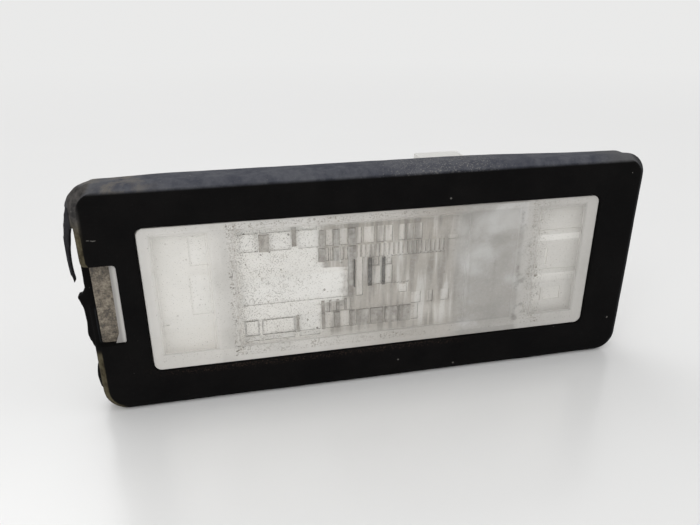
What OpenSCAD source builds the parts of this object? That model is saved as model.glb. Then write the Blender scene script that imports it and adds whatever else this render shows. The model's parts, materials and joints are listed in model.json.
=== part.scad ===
// Number plate lamp: a clear fluted lens in a black rubber frame, with its bulb housing behind.
// The lens looks towards -Y, the long side runs along X and +Z is up.
// The plane y = 0 is the face that seats on the panel, and the axis through the frame's centre is x = z = 0.

/* [Rubber frame] */
// Overall width of the frame
frame_w = 72; // [70:0.5:84]
// Overall height of the frame
frame_h = 29.8; // [29:0.2:36]
// Depth from the seating plane to the front face
frame_d = 4.3; // [4:0.1:5.5]
// Radius of the frame's corners, seen from the front
frame_corner_r = 3; // [2:0.1:5]
// Radius of the frame's front edge
frame_edge_r = 1.1; // [0.5:0.1:1.2]
// Thickness of the wall in front of the lens flange
front_wall = 1.3; // [1:0.05:1.6]
// Thickness of the side walls round the lens flange
side_wall = 0.85; // [0.6:0.05:1.3]
// Thickness of the lip behind the lens flange
rear_lip = 1.4; // [1:0.05:1.7]
// Width of the seating land at the left and right
land_x = 3.2; // [2.6:0.1:3.6]
// Width of the seating land at the top and bottom
land_z = 3.2; // [2.6:0.1:3.6]

/* [Window] */
// Width of the frame's border at the left of the window
border_left = 6.6; // [6.3:0.05:8]
// Width of the frame's border at the right of the window
border_right = 6.2; // [6:0.05:8]
// Height of the border above the window
border_top = 5.4; // [4.9:0.05:6]
// Height of the border below the window
border_bottom = 5.25; // [5:0.05:6.4]
// Radius of the window's corners
window_corner_r = 1; // [0.4:0.1:2]

/* [Release slot] */
// Height of the slot
slot_h = 10.5; // [8:0.1:12]
// Width of the slot at its top, from the frame's side
slot_w = 4; // [3.2:0.05:4.2]
// How much narrower the slot is at its bottom
slot_taper = 0.1; // [0:0.05:0.9]

/* [Torn side wall] */
// Distance from the frame's top down to the stretch of side wall that has torn off
tear_drop = 5.3; // [4.8:0.1:7]
// Bottom of that stretch
tear_bottom = -0.3; // [-2:0.1:1]
// Thickness of the peeled strip at its middle
strip_t = 0.55; // [0.4:0.05:0.8]
// How far the peeled strip bows out past the frame's side
strip_bow = 1.5; // [1:0.05:2]
// Depth of the peeled strip, front to back, and of the stretch that it tore from
strip_d = 1.2; // [0.8:0.1:1.3]

/* [Lens] */
// How far the pane lies behind the frame's front
lens_recess = 0.35; // [0.1:0.05:0.8]
// Thickness of the pane
pane_t = 1.4; // [1:0.1:1.6]
// Gap between the pane and the window
pane_gap = 0.1; // [0.05:0.05:0.3]
// Gap round the flange in the frame
flange_gap = 0.05; // [0.02:0.01:0.2]
// How far the skirt's inner face stands inside the window at the top and bottom
skirt_in_z = 1.45; // [0.8:0.05:1.8]
// Thickness of the skirt
skirt_t = 1.2; // [0.9:0.05:1.6]
// How far the skirt reaches behind the seating plane
skirt_reach = 3.4; // [3:0.1:5]
// Width of the compartment at each end, inside the skirt
end_cell_w = 8.9; // [7:0.1:9.2]
// Thickness of the partition walls
partition_t = 0.8; // [0.5:0.05:1]
// How far the partition walls reach behind the seating plane
partition_reach = 0.8; // [0:0.1:1.4]
// Height of the flutes and blocks on the pane's inner face
relief_h = 0.3; // [0.15:0.05:0.4]
// Pitch of the fine flutes
flute_pitch = 0.62; // [0.5:0.02:1]

/* [Latch and hooks] */
// Thickness of the latch arm and the hooks
arm_t = 1.1; // [0.8:0.05:1.4]
// Gap between an arm and the edge of the panel's cut-out
arm_gap = 0.3; // [0.2:0.05:0.6]
// Height of the latch arm
latch_h = 8.8; // [6:0.1:10]
// How far a nose reaches behind the panel's edge
nose_grip = 1.6; // [1:0.1:2]
// Thickness of the panel that the noses clamp
panel_t = 2; // [1.2:0.1:2.4]
// Height of each hook
hook_h = 4; // [3:0.1:5]
// Distance of the hooks from the middle, up and down
hook_z = 6; // [5:0.1:6.4]
// Gap between the skirt and the latch arm, which the leaf spring fills
spring_gap = 1.7; // [1.4:0.05:2.2]
// Thickness of the leaf spring
leaf_t = 0.25; // [0.15:0.01:0.35]
// Height of the leaf spring
leaf_h = 6; // [4:0.1:8]

/* [Housing] */
// Thickness of the rubber seal between skirt and housing
seal_t = 1; // [0.8:0.05:1.5]
// Width of that seal
seal_w = 0.9; // [0.6:0.05:1]
// Wall thickness of the housing
housing_wall = 1.4; // [1:0.05:1.8]
// Depth of the housing's straight sides behind the seal
side_d = 2.6; // [2:0.1:4]
// Distance of the rear wall's left corner from the middle
rear_left = 21; // [18:0.2:24]
// How far the rear wall reaches past the shroud on the right
rear_margin = 0.8; // [0.4:0.1:1.6]
// Distance of the snap straps from the middle
strap_x = 14; // [10:0.2:17]
// Width of a snap strap
strap_w = 6; // [5:0.1:8]
// Thickness of a snap strap
strap_t = 1; // [0.8:0.05:1.3]
// Gap between a strap and the skirt
strap_gap = 0.15; // [0.1:0.05:0.3]

/* [Connector] */
// Inner width of the shroud
shroud_w = 9.2; // [9:0.1:10]
// Inner height of the shroud
shroud_h = 11.6; // [10:0.1:12]
// Wall thickness of the shroud
shroud_wall = 1.2; // [0.9:0.05:1.3]
// Depth of the shroud behind the rear wall
shroud_d = 12; // [11:0.5:16]
// Height of the locking hood on the shroud
hood_h = 1.7; // [1:0.1:2.4]
// Thickness of the blades
blade_t = 0.65; // [0.5:0.05:0.8]
// Width of the blades and the contact clips
blade_w = 2.8; // [2.2:0.1:3]
// How far the blades reach behind the rear wall
blade_reach = 9.5; // [7:0.5:10]

/* [Bulb] */
// Overall length of the bulb
bulb_l = 26.8; // [25.6:0.1:27]
// Diameter of the envelope
bulb_d = 10.2; // [9.6:0.1:10.4]
// Thickness of the glass
glass_t = 0.7; // [0.5:0.05:0.9]
// Width of the wedge
wedge_w = 9.4; // [9:0.1:9.6]
// Thickness of the wedge
wedge_t = 2.5; // [2.2:0.05:2.6]
// Length of the wedge
wedge_l = 8; // [7:0.1:8.4]
// Distance from the tip to the filament
tip_to_filament = 7.8; // [7:0.1:8.4]
// Place of the filament along the lamp
filament_x = -1.9; // [-2.2:0.1:-1.6]
// Gap between the pane and the bulb
bulb_front_gap = 2.85; // [2.4:0.05:3.2]
// Gap between the bulb and the rear wall
bulb_rear_gap = 2.1; // [1.6:0.1:3]
// Distance of the lead wires from the bulb's middle
lead_z = 2.2; // [2.1:0.05:2.3]
// Diameter of the lead wires
lead_d = 0.5; // [0.4:0.05:0.6]

/* [Holder and contacts] */
// Clearance round the wedge and the contact clips
fit_gap = 0.1; // [0.05:0.01:0.15]
// Wall of the holder above and below the wedge
holder_wall = 1.1; // [0.9:0.05:1.4]
// Wall of the holder in front of the contact clips
holder_face = 0.85; // [0.6:0.05:1.2]
// Wall of the holder behind the wedge's end
holder_end_wall = 0.7; // [0.5:0.05:0.9]
// Room for the contact clips to spring
clip_room = 0.8; // [0.5:0.05:0.9]
// Thickness of the contact strip
clip_t = 0.35; // [0.25:0.05:0.45]
// Radius of the rivet shanks
rivet_r = 0.6; // [0.4:0.05:0.7]
// Radius of the holder's pegs
peg_r = 1; // [0.7:0.05:1.2]

/* [Vent] */
// Place of the vent along the lamp
vent_x = -9; // [-12:0.2:-4]
// Radius of the vent boss
vent_r = 4; // [3:0.1:5]
// Radius of the breather patch
patch_r = 3.1; // [2.2:0.1:3.1]
// Thickness of the breather patch
patch_t = 0.3; // [0.2:0.05:0.4]

/* [Hidden] */
$fn = 64;
// Small overlap that joins solids or makes a cut go right through
eps = 0.05;
// Levels along Y, from the front to the rear
front_y = -frame_d;
flange_front = front_y + front_wall;
flange_rear = -rear_lip;
pane_front = front_y + lens_recess;
pane_rear = pane_front + pane_t;
housing_front = skirt_reach + seal_t;
bulb_y = pane_rear + bulb_front_gap + bulb_d / 2;
rear_inner = bulb_y + bulb_d / 2 + bulb_rear_gap;
rear_outer = rear_inner + housing_wall;
shroud_end = rear_outer + shroud_d;
// Frame, panel cut-out and flange
channel_w = frame_w - 2 * side_wall;
channel_h = frame_h - 2 * side_wall;
channel_corner_r = frame_corner_r - side_wall;
// Inner face of the left side wall
wall_x = -channel_w / 2;
flange_w = channel_w - 2 * flange_gap;
flange_h = channel_h - 2 * flange_gap;
cutout_w = frame_w - 2 * land_x;
cutout_h = frame_h - 2 * land_z;
lip_clear = 0.2;
// Window, and its centre measured from the frame's centre
window_w = frame_w - border_left - border_right;
window_h = frame_h - border_top - border_bottom;
window_x = (border_left - border_right) / 2;
window_z = (border_bottom - border_top) / 2;
// Height of the bulb's axis, and of all that stands round it, above the frame's centre
axis_z = 0.2;
// Outer faces of the latch arm and the hooks
arm_x = cutout_w / 2 - arm_gap;
// Skirt, outside and inside, and the partition walls in it
skirt_w = 2 * (arm_x - arm_t - spring_gap);
skirt_in_w = skirt_w - 2 * skirt_t;
skirt_in_h = window_h - 2 * skirt_in_z;
skirt_h = skirt_in_h + 2 * skirt_t;
partition_x = skirt_in_w / 2 - end_cell_w;
// Rows of the lens's relief, lower and upper edge from the bulb's axis
row_a = [4.8, 7];
row_b = [2.8, 4.6];
row_c = [-4.4, -2.75];
row_d = [-6.85, -4.5];
// Top of the torn stretch
tear_top = frame_h / 2 - tear_drop;
// Slot, measured from the frame's left side
slot_top_x = -frame_w / 2 + slot_w;
slot_bottom_x = slot_top_x - slot_taper;
slit_w = 0.7;
// Catches for the straps, front to rear, and how far they stand out past the gap
catch_front = 1.3;
catch_rear = 2.9;
catch_grip = 0.7;
catch_clear = 0.2;
// Bulb along X
tip_x = filament_x - tip_to_filament;
base_x = tip_x + bulb_l;
wedge_x = base_x - wedge_l;
// Keying ribs in the middle of the wedge
key_t = wedge_t + 2;
key_w = 1.6;
// Contact clip: inner gap between its leaves, and the sheet's middle line at its rear end
clip_gap = wedge_t + lead_d;
clip_end_x = base_x + lead_d + fit_gap + clip_t / 2;
clip_flare = 0.9;
clip_mouth_x = wedge_x + clip_flare + 0.7;
tail_y = rear_inner - 1;
rivet_y = tail_y - 2 * rivet_r - 0.2;
blade_x = clip_end_x - clip_t / 2 - blade_t;
// Holder
holder_x = wedge_x + 0.3;
holder_end_x = clip_end_x + clip_t / 2 + holder_end_wall;
peg_margin = 0.9;
pocket_d = clip_gap / 2 + lead_d / 2 + clip_t + clip_room;
holder_front = bulb_y - pocket_d - holder_face;
holder_h = wedge_w + 2 * fit_gap + 2 * holder_wall;
peg_x = holder_x + peg_r + peg_margin;
peg_z = holder_h / 2 - peg_r - 0.4;
shroud_x = blade_x + blade_t / 2;
rear_right = shroud_x + shroud_w / 2 + shroud_wall + rear_margin;

// Unit vector from a to b, and its left normal
function heading(a, b) = (b - a) / norm(b - a);
function left_of(v) = [-v[1], v[0]];

// Mitred shift of the corner between the directions u and v
function mitre(u, v, d) = (left_of(u) + left_of(v)) * d / (1 + u * v);

// A closed outline that runs anticlockwise, moved inwards by d
function inset(p, d) = [for (i = [0 : len(p) - 1])
  let (a = p[(i + len(p) - 1) % len(p)], b = p[i], c = p[(i + 1) % len(p)])
  b + mitre(heading(a, b), heading(b, c), d)];

// One edge of a bent strip, at the distance d to the left of its middle line
function strip_edge(p, d) = [for (i = [0 : len(p) - 1])
  let (u = heading(p[max(i - 1, 0)], p[max(i, 1)]), last = len(p) - 1)
  let (v = heading(p[min(i, last - 1)], p[min(i + 1, last)]))
  p[i] + mitre(u, v, d)];
function reversed(p) = [for (i = [len(p) - 1 : -1 : 0]) p[i]];

// Points along the cubic curve that the four points p control
function curve(p, count) = [for (i = [0 : count])
  let (t = i / count, u = 1 - t)
  u * u * u * p[0] + 3 * t * u * u * p[1] + 3 * t * t * u * p[2] + t * t * t * p[3]];

// Centre of the circle through three points
function circle_centre(a, b, c) =
  let (u = b - a, v = c - a, k = 2 * (u[0] * v[1] - u[1] * v[0]))
  a + [v[1] * (u * u) - u[1] * (v * v), u[0] * (v * v) - v[0] * (u * u)] / k;

// A flat shape drawn in the front view, as a slab from y0 in front to y1 behind
module slab(y0, y1) {
  translate([0, y1, 0])
    rotate([90, 0, 0])
      linear_extrude(y1 - y0)
        children();
}

// A flat shape drawn in plan, with x and y as they are, centred on z
module plate(z, h) {
  translate([0, 0, z - h / 2])
    linear_extrude(h)
      children();
}

// Box from its low corner to its high corner
module box(low, high) {
  translate(low)
    cube(high - low);
}

module round_rect(w, h, r) {
  union() {
    square([w - 2 * r, h], center = true);
    square([w, h - 2 * r], center = true);
    for (x = [-1, 1], z = [-1, 1])
      translate([x * (w / 2 - r), z * (h / 2 - r)])
        circle(r);
  }
}

// Bent strip of sheet, given by its middle line in plan
module ribbon(points, t) {
  polygon(concat(strip_edge(points, t / 2), reversed(strip_edge(points, -t / 2))));
}

// Disc through three points
module disc_through(a, b, c) {
  centre = circle_centre(a, b, c);
  translate(centre)
    circle(norm(a - centre), $fn = 180);
}

// Plate of the frame's outline with a rounded front edge
module rounded_front() {
  e = frame_edge_r;
  r = frame_corner_r;
  straight_w = frame_w - 2 * r;
  straight_h = frame_h - 2 * r;
  slab(front_y, front_y + e)
    round_rect(frame_w - 2 * e, frame_h - 2 * e, r - e);
  for (z = [-1, 1])
    translate([-straight_w / 2, front_y + e, z * (frame_h / 2 - e)])
      rotate([0, 90, 0])
        cylinder(r = e, h = straight_w);
  for (x = [-1, 1])
    translate([x * (frame_w / 2 - e), front_y + e, -straight_h / 2])
      cylinder(r = e, h = straight_h);
  for (x = [-1, 1], z = [-1, 1])
    translate([x * straight_w / 2, front_y + e, z * straight_h / 2])
      rotate([90, 0, 0])
        rotate_extrude()
          translate([r - e, 0])
            circle(e);
}

module frame_body() {
  difference() {
    union() {
      rounded_front();
      slab(front_y + frame_edge_r, 0)
        round_rect(frame_w, frame_h, frame_corner_r);
    }
    slab(front_y - eps, flange_front + eps)
      translate([window_x, window_z])
        round_rect(window_w, window_h, window_corner_r);
    slab(flange_front, flange_rear)
      round_rect(channel_w, channel_h, channel_corner_r);
    slab(flange_rear - eps, eps)
      round_rect(cutout_w + 2 * lip_clear, cutout_h + 2 * lip_clear, 1.5);
    slab(front_y - eps, flange_front + eps)
      release_slot();
    slab(flange_front - eps, flange_front + strip_d)
      torn_gap();
  }
}

module release_slot() {
  polygon([
    [-frame_w / 2 - 1, -slot_h / 2],
    [slot_bottom_x, -slot_h / 2],
    [slot_top_x, slot_h / 2],
    [-frame_w / 2 - 1, slot_h / 2]
  ]);
}

// The stretch of side wall that is gone, with ragged ends
module torn_gap() {
  outer = -frame_w / 2 - 1;
  polygon([
    [outer, tear_bottom],
    [wall_x - 0.4, tear_bottom - 0.35],
    [wall_x + eps, tear_bottom + 0.1],
    [wall_x + eps, tear_top],
    [outer, tear_top + 0.6]
  ]);
}

// The strip peels off the top left corner and bows out to a ragged tip
module peeled_strip() {
  side = -frame_w / 2;
  top = frame_h / 2;
  tip = [side - strip_bow / 2, tear_bottom + 2.8];
  belly = side - strip_bow * 1.45;
  shoulder = side - strip_bow * 0.87;
  outer = [[side + 1.8, top - 0.3], [shoulder, top + 0.7], [belly, tip[1] + 1.3], tip];
  inner = [
    [side, top - 2.3],
    [shoulder + strip_t * 2.1, top - 6.2],
    [belly + strip_t * 0.9, tip[1] + 3.5],
    tip + [0.15, -0.35]
  ];
  slab(flange_front, flange_front + strip_d)
    polygon(concat(curve(outer, 20), reversed(curve(inner, 20))));
}

// Behind the tear, what is left of the side wall stands out from the frame, with a pointed stub
module torn_ledge() {
  side = -frame_w / 2;
  slab(flange_front + strip_d - eps, -0.2)
    polygon([
      [wall_x, tear_bottom + 8.3],
      [side, tear_bottom + 8.3],
      [side - 0.15, tear_bottom + 6.8],
      [side - 0.3, tear_bottom + 5.3],
      [side - 0.4, tear_bottom + 3.9],
      [side - 0.57, tear_bottom + 2.2],
      [side - 0.6, tear_bottom + 1.1],
      [side - 0.35, tear_bottom + 0.6],
      [side - 1.4, tear_bottom + 1.1],
      [side - 0.9, tear_bottom - 0.8],
      [side - 0.8, tear_bottom - 2.7],
      [side - 1, tear_bottom - 4.4],
      [side - 0.5, tear_bottom - 6],
      [side, tear_bottom - 7.6],
      [wall_x, tear_bottom - 7.6]
    ]);
}

// Thin lip that has lifted from the lower left side
module lifted_lip() {
  side = -frame_w / 2;
  low = [side + 0.4, -frame_h / 2 + 0.7];
  high = [side, -frame_h / 2 + 7];
  middle = [side - 0.75, -frame_h / 2 + 4];
  slab(flange_rear - 0.4, -0.3)
    difference() {
      disc_through(high, middle, low);
      disc_through(high + [0.5, 0.3], middle + [0.45, 0], low + [0.5, -0.3]);
      translate([wall_x, -frame_h])
        square([2 * frame_w, 2 * frame_h]);
    }
}

module rubber_frame() {
  color("#17171a") {
    union() {
      frame_body();
      peeled_strip();
      torn_ledge();
      lifted_lip();
    }
  }
}

// Narrow upright flutes side by side on the pane's inner face
module flutes(x0, x1, row) {
  bulge = flute_pitch * 0.42;
  count = floor((x1 - x0) / flute_pitch);
  translate([0, 0, row[0]])
    linear_extrude(row[1] - row[0])
      for (i = [0 : count - 1])
        translate([x0 + (i + 0.5) * flute_pitch, pane_rear - bulge + relief_h])
          circle(bulge, $fn = 24);
}

// Wide upright flute that fills its span
module wide_flute(span, row) {
  half = (span[1] - span[0]) / 2;
  translate([span[0] + half, pane_rear, row[0]])
    linear_extrude(row[1] - row[0])
      scale([half, relief_h])
        circle(1, $fn = 20);
}

// Raised pads, and raised outlines of pads, one for each span of a row
module pads(spans, row) {
  for (span = spans)
    box([span[0], pane_rear - eps, row[0]], [span[1], pane_rear + relief_h * 0.7, row[1]]);
}

module outlines(spans, row) {
  line = 0.24;
  for (span = spans)
    difference() {
      box([span[0], pane_rear - eps, row[0]], [span[1], pane_rear + relief_h, row[1]]);
      box([span[0] + line, pane_rear - 2 * eps, row[0] + line],
        [span[1] - line, pane_rear + 1, row[1] - line]);
    }
}

// Grooves cut into the pane's inner face, one for each span of a row
module grooves(spans, row, depth = relief_h) {
  for (span = spans)
    box([span[0], pane_rear - depth, row[0]], [span[1], pane_rear + 1, row[1]]);
}

// Level ridge that is steep above and slopes away below
module level_ridge(x0, x1, z) {
  rise = relief_h * 1.4;
  slope = 1.6;
  translate([x0, pane_rear, z])
    rotate([90, 0, 90])
      linear_extrude(x1 - x0)
        polygon([[-eps, -slope], [rise, -rise], [rise, rise / 2], [-eps, rise]]);
}

// What stands up from the pane's inner face, row by row from the top
module lens_relief() {
  pads([[-17.9, -15.4], [-15.2, -11.4], [-10.7, -8.1]], [7.15, 7.7]);
  pads([[-17.75, -15.5], [-14, -11.4], [-10.5, -7.95]], row_a);
  for (span = [[-7.1, -6.15], [-5.3, -4.25], [-3.2, -2.45], [-2.2, -0.8]])
    wide_flute(span, row_a);
  for (span = [[-0.45, 0.5], [0.6, 1.6], [2.4, 3.3], [3.45, 4.35], [4.55, 5.6]])
    wide_flute(span, row_a);
  for (span = [[-7.1, -6.7], [-6.5, -6.15], [-5.2, -4.8], [-4.65, -4.25]])
    wide_flute(span, row_b);
  flutes(-3.1, 8.9, row_b);
  for (x = [0.6 : 0.55 : 8.8])
    pads([[x, x + 0.4]], [2.7, 2.95]);
  // Broad pad, and three tall flutes in front of the filament
  pads([[-17.75, -4.25]], [-2.45, 1.3]);
  wide_flute([-3.2, -2.25], [-2.5, 2.9]);
  wide_flute([-1.05, 0.15], [-1.1, 1.45]);
  wide_flute([0.7, 1.7], [-1.1, 1.45]);
  outlines([[-1.1, -0.2], [0.7, 1.6]], [1.6, 2.7]);
  for (x = [1.8 : 0.45 : 3.6])
    pads([[x, x + 0.3]], [-1.2, -0.95]);
  pads([[2.6, 3.7]], [-2.6, -1.4]);
  // Small cells, and the blocks and upright lines under them
  pads([[-7.3, -6.75], [-6.45, -5.85], [-5.4, -4.75], [-4.4, -3.95], [4.4, 5.7], [6.6, 7.4], [8.5, 9.7]], row_c);
  pads([[-10.7, -8], [-7.25, -6.1], [-5.35, -4.1], [4.5, 5.4]], row_d);
  pads([[-3.3, -3.12], [-1.43, -1.25], [0.55, 0.73], [2.47, 2.65]], row_d);
  outlines([[-17.8, -15.9], [-15.6, -11.25]], row_d);
  pads([[-17.85, -15.5], [-15.3, -11.4], [-10.7, -8.05]], [-7.6, -7]);
  // Plain end of the middle compartment
  outlines([[12.4, 16.2]], [-6.3, 6]);
  pads([[9.1, 10.5]], [4.4, 5]);
  pads([[10.9, 15.1]], [-7.1, -6.9]);
  pads([[9.5, 17.9]], [-8.7, -8.5]);
  pads([[12, 14.6]], [7.9, 8.05]);
  // Right compartment: two level ridges, an upright line and two low pads
  level_ridge(partition_x, skirt_in_w / 2, 4.2);
  level_ridge(partition_x, skirt_in_w / 2, -1.6);
  pads([[partition_x + 3.8, partition_x + 4.05]], [-0.5, 1.8]);
  pads([[partition_x + 2.3, partition_x + 3.8], [partition_x + 4.1, partition_x + 6.7]], [-6, -4.1]);
  // Left compartment: two faint pads and a short bar
  pads([[-partition_x - 4.1, -partition_x - 1.8]], [3.7, 7.4]);
  pads([[-partition_x - 4.4, -partition_x - 1.1]], [-2.9, 2.4]);
  pads([[-skirt_in_w / 2, -partition_x - 7.4]], [-4.1, -3.85]);
}

// What is cut into the pane's inner face: grooves beside the pads, and three narrow deep slits
module lens_grooves() {
  grooves([[-11.3, -10.75]], [5.2, 7.6]);
  grooves([[-15.35, -14.1], [-7.85, -7.2], [-6.1, -5.4], [-4.2, -3.3]], row_a);
  grooves([[-8.05, -7.2], [-6.1, -5.4], [-4.2, -3.2]], row_b);
  grooves([[-4.2, -3.55]], [-2.5, row_b[0]]);
  grooves([[-7.8, -7.4], [-6.75, -6.5], [-5.8, -5.45], [-4.7, -4.45]], row_c);
  grooves([[-11.15, -10.8], [-7.8, -7.35], [-6.05, -5.4], [-4.05, -3.4]], row_d);
  grooves([[-3.05, -1.5], [-1.2, 0.5], [0.8, 2.4], [2.75, 4.3]], row_d);
  grooves([[-3.5, -3.35], [-1.65, -1.15], [0.2, 0.62]], [-1.05, 2.8], relief_h * 2);
}

// Catch on the skirt for one of the housing's straps
module strap_catch(x, side) {
  z = side * skirt_h / 2;
  translate([x - strap_w / 4, 0, z])
    rotate([0, 90, 0])
      linear_extrude(strap_w / 2)
        polygon([
          [side * eps, catch_front],
          [side * eps, catch_rear],
          [-side * (strap_gap + catch_grip), catch_rear]
        ]);
}

// Nose that grips behind the panel, drawn in plan for the right side
module nose(x, y) {
  reach = arm_gap + nose_grip;
  polygon([[x - eps, y], [x + reach, y + 0.2], [x + reach, y + 0.9], [x - eps, y + 3.2]]);
}

module latch_arm() {
  plate(0, latch_h) {
    translate([-arm_x, flange_rear - eps])
      square([arm_t, -flange_rear + panel_t + 4.6]);
    mirror([1, 0])
      nose(arm_x, panel_t + 0.1);
  }
}

module fixed_hooks() {
  for (z = [-hook_z, hook_z])
    plate(z, hook_h) {
      translate([arm_x - arm_t, flange_rear - eps])
        square([arm_t, -flange_rear + panel_t + 3.4]);
      nose(arm_x, panel_t + 0.1);
    }
}

// Clean rib along the slot's inner edge, with a foot at its bottom
module tongue_rib() {
  rise = 0.75;
  rib_w = 0.8;
  slab(flange_front - rise, flange_front + eps)
    polygon([
      [slot_bottom_x - rib_w - 0.5, -slot_h / 2 + 0.1],
      [slot_bottom_x - 0.08, -slot_h / 2 + 0.1],
      [slot_top_x - 0.08, slot_h / 2 - 0.1],
      [slot_top_x - rib_w, slot_h / 2 - 0.1],
      [slot_bottom_x - rib_w, -slot_h / 2 + 1.4]
    ]);
}

module lens() {
  inside_r = 0.5;
  color([0.86, 0.86, 0.84, 0.6])
    difference() {
      union() {
        difference() {
          union() {
            slab(flange_front, flange_rear)
              round_rect(flange_w, flange_h, channel_corner_r - flange_gap);
            slab(pane_front, pane_rear)
              translate([window_x, window_z])
                round_rect(window_w - 2 * pane_gap, window_h - 2 * pane_gap, window_corner_r - pane_gap);
            slab(flange_front, skirt_reach)
              translate([0, axis_z])
                round_rect(skirt_w, skirt_h, inside_r + skirt_t);
          }
          translate([0, 0, axis_z]) {
            slab(pane_rear, skirt_reach + eps)
              round_rect(skirt_in_w, skirt_in_h, inside_r);
            lens_grooves();
          }
        }
        translate([0, 0, axis_z]) {
          for (x = [-partition_x, partition_x])
            box([x - partition_t / 2, pane_rear - eps, -skirt_in_h / 2 - eps],
              [x + partition_t / 2, partition_reach, skirt_in_h / 2 + eps]);
          lens_relief();
          for (x = [-strap_x, strap_x], side = [-1, 1])
            strap_catch(x, side);
        }
        latch_arm();
        fixed_hooks();
        tongue_rib();
      }
      // Slits that let the tongue and its arm bend
      for (side = [-1, 1])
        box([-frame_w / 2, flange_front - eps, side * (slot_h / 2 + slit_w) - slit_w / 2],
          [-skirt_w / 2 - 0.4, flange_rear + eps, side * (slot_h / 2 + slit_w) + slit_w / 2]);
    }
}

// Leaf between the skirt and the latch arm
module latch_spring() {
  x_skirt = -skirt_w / 2 - leaf_t / 2;
  x_arm = -arm_x + arm_t + leaf_t / 2;
  y_rear = skirt_reach - 0.3;
  y_front = flange_rear + 0.5;
  color("#b9bbbd")
    plate(0, leaf_h)
      ribbon([
        [x_skirt, y_front],
        [x_skirt, y_rear - 0.6],
        [x_skirt - 0.35, y_rear],
        [x_skirt - 0.75, y_rear - 0.5],
        [x_arm, y_front + 2.2],
        [x_arm, y_front + 1.2],
        [x_arm + 0.45, y_front + 0.3]
      ], leaf_t);
}

// Outline of the housing in plan, anticlockwise
function housing_plan() = [
  [-skirt_w / 2, housing_front],
  [skirt_w / 2, housing_front],
  [skirt_w / 2, housing_front + side_d],
  [rear_right, rear_outer],
  [-rear_left, rear_outer],
  [-skirt_w / 2, housing_front + side_d]
];

// Strap with the hole that its catch on the skirt snaps into
module snap_strap(x, side) {
  z0 = skirt_h / 2 + strap_gap;
  root_y = housing_front + 0.3;
  hole_w = strap_w / 2 + 0.4;
  mirror([0, 0, side < 0 ? 1 : 0])
    difference() {
      union() {
        box([x - strap_w / 2, 0.5, z0], [x + strap_w / 2, root_y + 3, z0 + strap_t]);
        box([x - strap_w / 2, root_y, z0 - strap_gap - eps], [x + strap_w / 2, root_y + 3, z0 + eps]);
      }
      box([x - hole_w / 2, catch_front - catch_clear, z0 - eps],
        [x + hole_w / 2, catch_rear + catch_clear, z0 + strap_t + eps]);
    }
}

module shroud() {
  outer_w = shroud_w + 2 * shroud_wall;
  outer_h = shroud_h + 2 * shroud_wall;
  hood_w = 7.6;
  difference() {
    union() {
      translate([shroud_x, 0, 0])
        slab(rear_outer - eps, shroud_end)
          round_rect(outer_w, outer_h, 1.6);
      // Locking hood that the plug's latch snaps under
      box([shroud_x - hood_w / 2, shroud_end - 4, outer_h / 2 - eps],
        [shroud_x + hood_w / 2, shroud_end, outer_h / 2 + hood_h]);
      // Guide ribs at the sides
      for (x = [-1, 1])
        translate([shroud_x + x * (outer_w / 2 - eps), 0, 0])
          box([-0.6, rear_outer - eps, -0.6], [0.6, shroud_end - 1, 0.6]);
    }
    translate([shroud_x, 0, 0])
      slab(rear_outer, shroud_end + eps)
        round_rect(shroud_w, shroud_h, 0.8);
    box([shroud_x - hood_w / 2 + 1, shroud_end - 3, outer_h / 2 - eps],
      [shroud_x + hood_w / 2 - 1, shroud_end + eps, outer_h / 2 + hood_h - 0.8]);
  }
}

module lamp_housing() {
  color("#e4e3dc")
    translate([0, 0, axis_z])
      difference() {
        union() {
          difference() {
            plate(0, skirt_h)
              polygon(housing_plan());
            plate(0, skirt_in_h)
              polygon(concat([[-skirt_in_w / 2, housing_front - 1], [skirt_in_w / 2, housing_front - 1]],
                [for (i = [2 : 5]) inset(housing_plan(), housing_wall)[i]]));
          }
          for (x = [-strap_x, strap_x], side = [-1, 1])
            snap_strap(x, side);
          shroud();
          // Boss round the vent, and ribs that stiffen the rear wall
          translate([vent_x, 0, 0])
            slab(rear_outer - eps, rear_outer + 1.2)
              circle(vent_r);
          for (z = [-1, 1])
            box([-rear_left + 1, rear_outer - eps, z * skirt_h / 3 - 0.5],
              [shroud_x - shroud_w / 2 - 1.5, rear_outer + 1, z * skirt_h / 3 + 0.5]);
        }
        translate([vent_x, 0, 0]) {
          slab(rear_outer + 0.5, rear_outer + 2)
            circle(patch_r + fit_gap);
          slab(rear_inner - eps, rear_outer + 1)
            circle(0.7);
        }
        // Slots for the blades and holes for the holder's pegs
        for (z = [-lead_z, lead_z])
          box([blade_x - 0.05, rear_inner - eps, z - blade_w / 2 - 0.05],
            [blade_x + blade_t + 0.05, rear_outer + eps, z + blade_w / 2 + 0.05]);
        for (z = [-peg_z, peg_z])
          translate([peg_x, 0, z])
            slab(rear_inner - eps, rear_outer + eps)
              circle(peg_r + 0.05);
      }
}

module housing_seal() {
  color("#1d1d1f")
    translate([0, 0, axis_z])
      slab(skirt_reach, housing_front)
        difference() {
          round_rect(skirt_in_w + skirt_t + seal_w, skirt_in_h + skirt_t + seal_w, 0.5 + seal_w);
          round_rect(skirt_in_w + skirt_t - seal_w, skirt_in_h + skirt_t - seal_w, 0.5);
        }
}

// Space that one contact clip takes in the holder, side is 1 for the upper one
module clip_pocket(side) {
  z0 = lead_z - blade_w / 2 - fit_gap;
  z1 = lead_z + blade_w / 2 + fit_gap;
  mirror([0, 0, side < 0 ? 1 : 0]) {
    box([clip_mouth_x - clip_flare - 0.4, bulb_y - pocket_d, z0],
      [clip_end_x + clip_t / 2 + fit_gap, bulb_y + pocket_d, z1]);
    box([blade_x - rivet_r - fit_gap, bulb_y, z0],
      [clip_end_x + clip_t / 2 + holder_end_wall - 0.2, rear_inner + eps, z1]);
  }
}

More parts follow.
